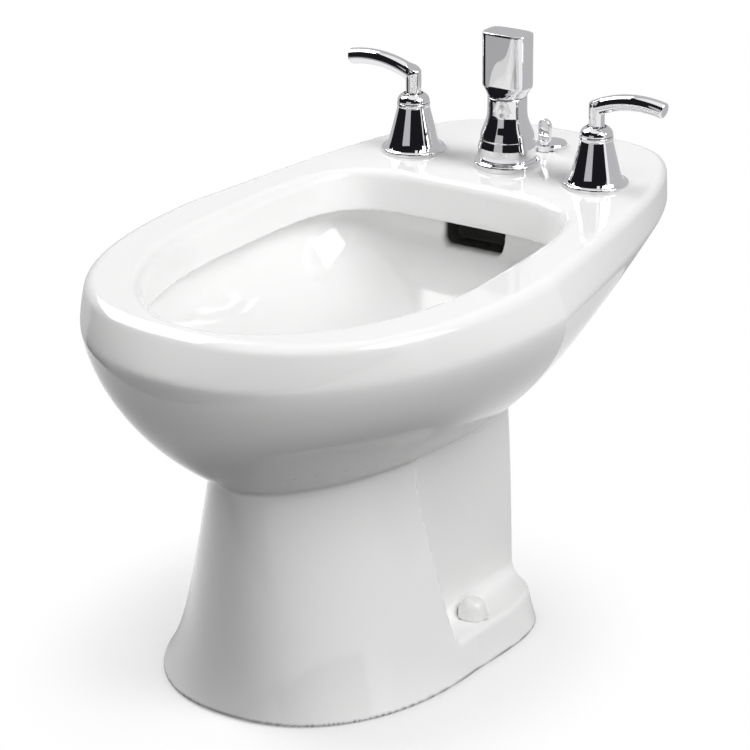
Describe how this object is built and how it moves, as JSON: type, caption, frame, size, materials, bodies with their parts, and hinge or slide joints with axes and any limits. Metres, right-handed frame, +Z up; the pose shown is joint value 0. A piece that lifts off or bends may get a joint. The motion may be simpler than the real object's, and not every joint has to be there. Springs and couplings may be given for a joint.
{
  "type": "bidet",
  "caption": "Floor-standing white china bidet with a long bowl, lever valves, a diverter with vacuum breaker, a rising spray and a pop-up drain worked from the deck.",
  "frame": {"origin": "centre of the footprint box on the floor, under the foot", "axes": "+X to the right seen from the front, +Y towards the faucet deck and the wall, +Z up"},
  "size_m": [0.4216, 0.6908, 0.512],
  "materials": {
    "vitreous_china": "glazed vitreous china, glossy white",
    "white_plastic": "smooth white plastic",
    "chrome": "polished chrome plate on brass",
    "brass": "machined brass",
    "copper": "bright copper tube",
    "rubber": "black rubber",
    "steel": "plated steel"
  },
  "bodies": {
    "fixed": {"china_body": "vitreous_china", "bolt_caps": "white_plastic", "cap_bases": "white_plastic", "left_bell": "chrome", "right_bell": "chrome", "left_valve_body": "brass", "right_valve_body": "brass", "left_bonnet": "brass", "right_bonnet": "brass", "deck_gaskets": "rubber", "deck_washers": "steel", "deck_locknuts": "brass", "centre_bell": "chrome", "diverter_body": "brass", "breaker_bonnet": "brass", "hot_tube": "copper", "cold_tube": "copper", "supply_nuts": "brass", "rim_tube": "copper", "rim_spud": "brass", "spray_tube": "copper", "spray_head": "chrome", "spray_gasket": "rubber", "spray_nut": "brass", "popup_disc": "chrome", "popup_nut": "brass", "pivot_nut": "white_plastic", "drain_flange": "chrome", "drain_body": "chrome", "drain_gasket": "rubber", "drain_washer": "brass", "drain_locknut": "brass", "tailpiece": "chrome"},
    "hot_handle": {"left_lever": "chrome", "left_spindle": "brass", "left_set_screw": "steel"},
    "cold_handle": {"right_lever": "chrome", "right_spindle": "brass", "right_set_screw": "steel"},
    "diverter": {"diverter_knob": "chrome", "diverter_stem": "brass"},
    "float": {"float_ring": "rubber"},
    "lift": {"lift_knob": "chrome", "lift_rod": "chrome", "clevis_strap": "steel", "clevis_screw": "steel", "spring_clip": "steel"},
    "pivot": {"pivot_rod": "steel", "pivot_ball": "white_plastic"},
    "plug": {"stopper": "chrome", "stopper_seal": "rubber"}
  },
  "joints": [
    {"name": "hot_lever_turn", "type": "hinge", "parent": "fixed", "child": "hot_handle", "pos_m": [-0.1016, 0.202, 0.43], "axis": [0, 0, 1], "range_deg": [0, 90]},
    {"name": "cold_lever_turn", "type": "hinge", "parent": "fixed", "child": "cold_handle", "pos_m": [0.1016, 0.202, 0.43], "axis": [0, 0, 1], "range_deg": [-90, 0]},
    {"name": "diverter_turn", "type": "hinge", "parent": "fixed", "child": "diverter", "pos_m": [0, 0.209, 0.45], "axis": [0, 0, 1], "range_deg": [0, 90]},
    {"name": "float_rise", "type": "slide", "parent": "fixed", "child": "float", "axis": [0, 0, 1], "range_m": [0, 0.003]},
    {"name": "lift_slide", "type": "slide", "parent": "fixed", "child": "lift", "axis": [0, 0, 1], "range_m": [0, 0.03]},
    {"name": "pivot_tilt", "type": "hinge", "parent": "fixed", "child": "pivot", "pos_m": [0, 0.06, 0.165], "axis": [1, 0, 0], "range_deg": [0, 15.7]},
    {"name": "stopper_drop", "type": "slide", "parent": "fixed", "child": "plug", "axis": [0, 0, 1], "range_m": [-0.0066, 0]}
  ],
  "couplings": [
    {"joint": "pivot_tilt", "follows": "lift_slide", "rad_per_m": 9.0909},
    {"joint": "stopper_drop", "follows": "lift_slide", "ratio": -0.21818}
  ]
}
